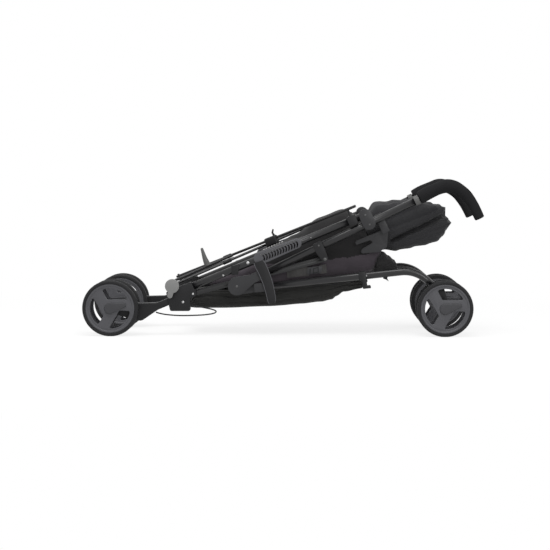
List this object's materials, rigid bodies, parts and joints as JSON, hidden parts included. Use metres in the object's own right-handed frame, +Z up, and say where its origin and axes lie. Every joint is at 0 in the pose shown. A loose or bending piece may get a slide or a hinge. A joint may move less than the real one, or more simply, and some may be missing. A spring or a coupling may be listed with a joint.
{
  "type": "folded umbrella pushchair",
  "caption": "Umbrella pushchair folded for storage: four pairs of wheels, tube frame with hooked swivelling handles, folded canopy, seat and basket.",
  "frame": {"origin": "centre of the bounding box at floor level", "axes": "+X along the folded frame from the rear wheels to the castors and handles, +Y across it towards the pushchair's left side, +Z up"},
  "size_m": [1.0428, 0.302, 0.4077],
  "materials": {
    "black_tube": "satin",
    "black_plastic": "matte",
    "grey_plastic": "satin",
    "pale_plastic": "satin",
    "rim_plastic": "satin",
    "tyre_foam": "matte",
    "grip_foam": "matte",
    "black_cloth": "matte",
    "seat_cloth": "matte"
  },
  "bodies": {
    "frame_right": {"handle_tube_right": "black_tube", "handle_collar_right": "pale_plastic", "top_bracket_right": "grey_plastic", "knee_bracket_right": "grey_plastic", "canopy_hinge_right": "grey_plastic", "canopy": "black_cloth", "seat_pad": "seat_cloth", "basket": "black_cloth", "calf_rest": "black_cloth", "harness_buckle": "black_plastic"},
    "frame_left": {"handle_tube_left": "black_tube", "handle_collar_left": "pale_plastic", "top_bracket_left": "grey_plastic", "knee_bracket_left": "grey_plastic", "canopy_hinge_left": "grey_plastic"},
    "grip_right": {"handle_grip_right": "grip_foam"},
    "front_frame_right": {"front_knee_right": "grey_plastic", "front_leg_right": "black_tube", "foot_bracket_right": "black_plastic"},
    "caster_right": {"caster_fork_right": "black_plastic"},
    "front_wheels_right": {"front_wheel_pair_right": "rim_plastic", "front_outer_tyre_right": "tyre_foam", "front_inner_tyre_right": "tyre_foam"},
    "rear_frame_right": {"rear_leg_right": "black_tube", "leg_cover_right": "grey_plastic", "lower_bracket_right": "black_plastic", "rear_wheel_housing_right": "black_plastic", "brake_cable": "black_plastic"},
    "rear_wheels_right": {"rear_wheel_pair_right": "rim_plastic", "rear_outer_tyre_right": "tyre_foam", "rear_inner_tyre_right": "tyre_foam"},
    "strut_slider_right": {"strut_runner_right": "black_plastic"},
    "strut_arm_right": {"strut_right": "black_tube"},
    "brace_arm_right": {"brace_bar_right": "black_tube"},
    "brace_slider_right": {"brace_runner_right": "black_plastic"},
    "lock_arm_right": {"lock_bar_right": "black_tube"},
    "grip_left": {"handle_grip_left": "grip_foam"},
    "front_frame_left": {"front_knee_left": "grey_plastic", "front_leg_left": "black_tube", "foot_bracket_left": "black_plastic"},
    "caster_left": {"caster_fork_left": "black_plastic"},
    "front_wheels_left": {"front_wheel_pair_left": "rim_plastic", "front_outer_tyre_left": "tyre_foam", "front_inner_tyre_left": "tyre_foam"},
    "rear_frame_left": {"rear_leg_left": "black_tube", "leg_cover_left": "grey_plastic", "lower_bracket_left": "black_plastic", "rear_wheel_housing_left": "black_plastic"},
    "rear_wheels_left": {"rear_wheel_pair_left": "rim_plastic", "rear_outer_tyre_left": "tyre_foam", "rear_inner_tyre_left": "tyre_foam"},
    "strut_slider_left": {"strut_runner_left": "black_plastic"},
    "strut_arm_left": {"strut_left": "black_tube"},
    "brace_arm_left": {"brace_bar_left": "black_tube", "brace_hub": "black_plastic"},
    "brace_slider_left": {"brace_runner_left": "black_plastic"},
    "lock_arm_left": {"lock_bar_left": "black_tube"},
    "fold_lever": {"fold_pedal": "pale_plastic"},
    "brake_lever": {"brake_pedal": "pale_plastic"},
    "latch_strap": {"storage_latch": "grey_plastic"}
  },
  "joints": [
    {"name": "front_fold_right", "type": "hinge", "parent": "frame_right", "child": "front_frame_right", "pos_m": [-0.12, -0.111, 0.129], "axis": [0, 1, 0], "range_deg": [0, 150]},
    {"name": "width_spread", "type": "slide", "parent": "frame_right", "child": "frame_left", "axis": [0, 1, 0], "range_m": [0, 0.1705]},
    {"name": "front_fold_left", "type": "hinge", "parent": "frame_left", "child": "front_frame_left", "pos_m": [-0.12, 0.111, 0.129], "axis": [0, 1, 0], "range_deg": [0, 150.5]},
    {"name": "rear_fold_right", "type": "hinge", "parent": "frame_right", "child": "rear_frame_right", "pos_m": [0.21344, -0.111, 0.31482], "axis": [0, 1, 0], "range_deg": [0, 26.2]},
    {"name": "strut_slide_right", "type": "slide", "parent": "frame_right", "child": "strut_slider_right", "axis": [-0.9018, 0, -0.4321], "range_m": [0, 0.0793]},
    {"name": "strut_swing_right", "type": "hinge", "parent": "strut_slider_right", "child": "strut_arm_right", "pos_m": [0.10989, -0.0935, 0.2], "axis": [0, 1, 0], "range_deg": [0, 41.8]},
    {"name": "brace_swing_right", "type": "hinge", "parent": "rear_frame_right", "child": "brace_arm_right", "pos_m": [-0.2877, -0.111, 0.13185], "axis": [-0.3831, 0, 0.9237], "range_deg": [0, 22.2]},
    {"name": "brace_slide_right", "type": "slide", "parent": "rear_frame_right", "child": "brace_slider_right", "axis": [-0.9237, 0, -0.3831], "range_m": [0, 0.1197]},
    {"name": "lock_swing_right", "type": "hinge", "parent": "rear_frame_right", "child": "lock_arm_right", "pos_m": [-0.29095, -0.111, 0.1397], "axis": [-0.3831, 0, 0.9237], "range_deg": [0, 45.1]},
    {"name": "caster_swivel_right", "type": "hinge", "parent": "front_frame_right", "child": "caster_right", "pos_m": [0.39014, -0.111, 0.13197], "axis": [-0.7547, 0, 0.6561], "continuous": true},
    {"name": "front_spin_right", "type": "hinge", "parent": "caster_right", "child": "front_wheels_right", "pos_m": [0.421, -0.111, 0.07237], "axis": [0, 1, 0], "continuous": true},
    {"name": "rear_spin_right", "type": "hinge", "parent": "rear_frame_right", "child": "rear_wheels_right", "pos_m": [-0.449, -0.111, 0.07237], "axis": [0, 1, 0], "continuous": true},
    {"name": "grip_swivel_right", "type": "hinge", "parent": "frame_right", "child": "grip_right", "pos_m": [0.35572, -0.111, 0.35692], "axis": [-0.9018, 0, -0.4321], "range_deg": [0, 180]},
    {"name": "rear_fold_left", "type": "hinge", "parent": "frame_left", "child": "rear_frame_left", "pos_m": [0.21344, 0.111, 0.31482], "axis": [0, 1, 0], "range_deg": [0, 26.2]},
    {"name": "strut_slide_left", "type": "slide", "parent": "frame_left", "child": "strut_slider_left", "axis": [-0.9018, 0, -0.4321], "range_m": [0, 0.0793]},
    {"name": "strut_swing_left", "type": "hinge", "parent": "strut_slider_left", "child": "strut_arm_left", "pos_m": [0.10989, 0.0935, 0.2], "axis": [0, 1, 0], "range_deg": [0, 41.8]},
    {"name": "brace_swing_left", "type": "hinge", "parent": "rear_frame_left", "child": "brace_arm_left", "pos_m": [-0.29095, 0.111, 0.1397], "axis": [0.3831, 0, -0.9237], "range_deg": [0, 22.2]},
    {"name": "brace_slide_left", "type": "slide", "parent": "rear_frame_left", "child": "brace_slider_left", "axis": [-0.9237, 0, -0.3831], "range_m": [0, 0.1197]},
    {"name": "lock_swing_left", "type": "hinge", "parent": "rear_frame_left", "child": "lock_arm_left", "pos_m": [-0.2877, 0.111, 0.13185], "axis": [0.3831, 0, -0.9237], "range_deg": [0, 45.1]},
    {"name": "caster_swivel_left", "type": "hinge", "parent": "front_frame_left", "child": "caster_left", "pos_m": [0.39014, 0.111, 0.13197], "axis": [-0.7547, 0, 0.6561], "continuous": true},
    {"name": "front_spin_left", "type": "hinge", "parent": "caster_left", "child": "front_wheels_left", "pos_m": [0.421, 0.111, 0.07237], "axis": [0, 1, 0], "continuous": true},
    {"name": "rear_spin_left", "type": "hinge", "parent": "rear_frame_left", "child": "rear_wheels_left", "pos_m": [-0.449, 0.111, 0.07237], "axis": [0, 1, 0], "continuous": true},
    {"name": "grip_swivel_left", "type": "hinge", "parent": "frame_left", "child": "grip_left", "pos_m": [0.35572, 0.111, 0.35692], "axis": [0.9018, 0, 0.4321], "range_deg": [0, 180]},
    {"name": "fold_pedal_press", "type": "hinge", "parent": "lock_arm_right", "child": "fold_lever", "pos_m": [-0.20028, -0.04551, 0.17731], "axis": [0.7684, 0.555, 0.3187], "range_deg": [0, 35]},
    {"name": "brake_pedal_press", "type": "hinge", "parent": "rear_frame_right", "child": "brake_lever", "pos_m": [-0.29417, -0.111, 0.10492], "axis": [0, -1, 0], "range_deg": [0, 20]},
    {"name": "latch_swing", "type": "hinge", "parent": "rear_frame_right", "child": "latch_strap", "pos_m": [-0.05899, -0.111, 0.18601], "axis": [0, 1, 0], "range_deg": [0, 60]}
  ],
  "couplings": [
    {"joint": "width_spread", "follows": "front_fold_right", "m_per_rad": 0.064935},
    {"joint": "front_fold_left", "follows": "front_fold_right", "ratio": 1},
    {"joint": "rear_fold_right", "follows": "front_fold_right", "ratio": 0.17333},
    {"joint": "strut_slide_right", "follows": "front_fold_right", "m_per_rad": 0.03015},
    {"joint": "strut_swing_right", "follows": "front_fold_right", "ratio": 0.27701},
    {"joint": "brace_swing_right", "follows": "front_fold_right", "ratio": 0.14665},
    {"joint": "brace_slide_right", "follows": "front_fold_right", "m_per_rad": 0.045584},
    {"joint": "lock_swing_right", "follows": "front_fold_right", "ratio": 0.29874},
    {"joint": "rear_fold_left", "follows": "front_fold_right", "ratio": 0.17333},
    {"joint": "strut_slide_left", "follows": "front_fold_right", "m_per_rad": 0.03015},
    {"joint": "strut_swing_left", "follows": "front_fold_right", "ratio": 0.27701},
    {"joint": "brace_swing_left", "follows": "front_fold_right", "ratio": 0.14665},
    {"joint": "brace_slide_left", "follows": "front_fold_right", "m_per_rad": 0.045584},
    {"joint": "lock_swing_left", "follows": "front_fold_right", "ratio": 0.29874}
  ]
}
